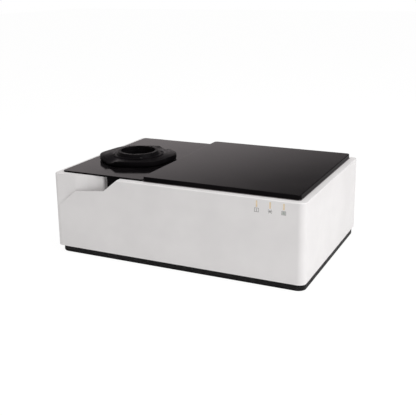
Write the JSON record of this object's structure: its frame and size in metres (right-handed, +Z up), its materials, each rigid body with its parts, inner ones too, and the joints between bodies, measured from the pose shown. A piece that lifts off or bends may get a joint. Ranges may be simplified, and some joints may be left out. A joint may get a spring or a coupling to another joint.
{
  "type": "near-infrared spectrometer",
  "caption": "Low benchtop near-infrared spectrometer with a lift-up rotating sample stage, raised lid, finger recess and indicator lights.",
  "frame": {"origin": "middle of the footprint, on the floor under the feet", "axes": "+X to the right seen from the front, +Y to the back, +Z up"},
  "size_m": [0.54, 0.37, 0.1958],
  "materials": {
    "casing_white": "satin moulded",
    "satin_black": "satin moulded",
    "gloss_black": "gloss",
    "rubber_black": "matt",
    "zinc_steel": "zinc plated",
    "aluminium": "machined",
    "black_metal": "anodised black",
    "amber_light": "translucent",
    "circuit_board": "solder mask",
    "clear_glass": "polished",
    "mirror_coat": "polished",
    "gold_contact": "plated",
    "white_ceramic": "matt",
    "gear_plastic": "natural"
  },
  "bodies": {
    "housing": {"outer_shell": "casing_white", "base_tray": "satin_black", "rubber_feet": "rubber_black", "case_screws": "zinc_steel", "chassis_plate": "zinc_steel", "top_lid": "gloss_black", "lid_screws": "zinc_steel", "hinge_brackets": "black_metal", "bay_liner": "satin_black", "rear_panel": "black_metal", "power_inlet": "satin_black", "inlet_pins": "gold_contact", "switch_frame": "satin_black", "usb_socket": "zinc_steel", "network_socket": "zinc_steel", "fan_frame": "satin_black", "fan_guard": "zinc_steel", "power_supply": "aluminium", "main_board": "circuit_board", "board_standoffs": "gold_contact", "light_pipe": "amber_light", "indicator_board": "circuit_board", "optical_bench": "aluminium", "bench_isolators": "rubber_black", "lamp_housing": "aluminium", "lamp_reflector": "mirror_coat", "halogen_lamp": "clear_glass", "filter_motor": "black_metal", "entrance_slit": "black_metal", "exit_slit": "black_metal", "grating_motor": "black_metal", "measurement_head": "black_metal", "measurement_window": "clear_glass", "detectors": "zinc_steel", "mirror_block": "aluminium", "fold_mirror": "mirror_coat", "paddle_drive": "black_metal"},
    "stage": {"stage_plate": "gloss_black", "lift_tab": "satin_black", "stage_bearing": "black_metal", "stage_motor": "black_metal", "motor_bracket": "zinc_steel", "hinge_pins": "zinc_steel"},
    "turntable_assembly": {"turntable": "satin_black", "cup_collar": "satin_black", "collar_screws": "black_metal", "ring_gear": "gear_plastic", "gear_screws": "zinc_steel"},
    "pinion_assembly": {"drive_pinion": "gold_contact", "motor_shaft": "zinc_steel"},
    "fan_blades": {"fan_rotor": "satin_black"},
    "rocker": {"power_rocker": "satin_black"},
    "grating_assembly": {"grating_holder": "black_metal", "diffraction_grating": "mirror_coat"},
    "filter_assembly": {"filter_wheel": "black_metal", "order_filters": "clear_glass"},
    "paddle_assembly": {"reference_paddle": "black_metal", "reference_tile": "white_ceramic"}
  },
  "joints": [
    {"name": "stage_lift", "type": "hinge", "parent": "housing", "child": "stage", "pos_m": [-0.161, 0.168, 0.1717], "axis": [-1, 0, 0], "range_deg": [0, 75]},
    {"name": "turntable_spin", "type": "hinge", "parent": "stage", "child": "turntable_assembly", "pos_m": [-0.161, -0.0245, 0.176], "axis": [0, 0, 1], "continuous": true},
    {"name": "pinion_spin", "type": "hinge", "parent": "stage", "child": "pinion_assembly", "pos_m": [-0.161, 0.0475, 0.161], "axis": [0, 0, 1], "continuous": true},
    {"name": "fan_spin", "type": "hinge", "parent": "housing", "child": "fan_blades", "pos_m": [0.18, 0.17, 0.09], "axis": [0, 1, 0], "continuous": true},
    {"name": "rocker_tilt", "type": "hinge", "parent": "housing", "child": "rocker", "pos_m": [0.025, 0.181, 0.09], "axis": [1, 0, 0], "range_deg": [0, 20]},
    {"name": "grating_turn", "type": "hinge", "parent": "housing", "child": "grating_assembly", "pos_m": [0.03, -0.058, 0.076], "axis": [0, 0, 1], "range_deg": [-12, 12]},
    {"name": "filter_turn", "type": "hinge", "parent": "housing", "child": "filter_assembly", "pos_m": [-0.116, -0.0955, 0.076], "axis": [1, 0, 0], "continuous": true},
    {"name": "paddle_swing", "type": "hinge", "parent": "housing", "child": "paddle_assembly", "pos_m": [-0.161, 0.0215, 0.0995], "axis": [0, 0, 1], "range_deg": [-70, 0]}
  ],
  "couplings": [
    {"joint": "pinion_spin", "follows": "turntable_spin", "ratio": -5}
  ]
}
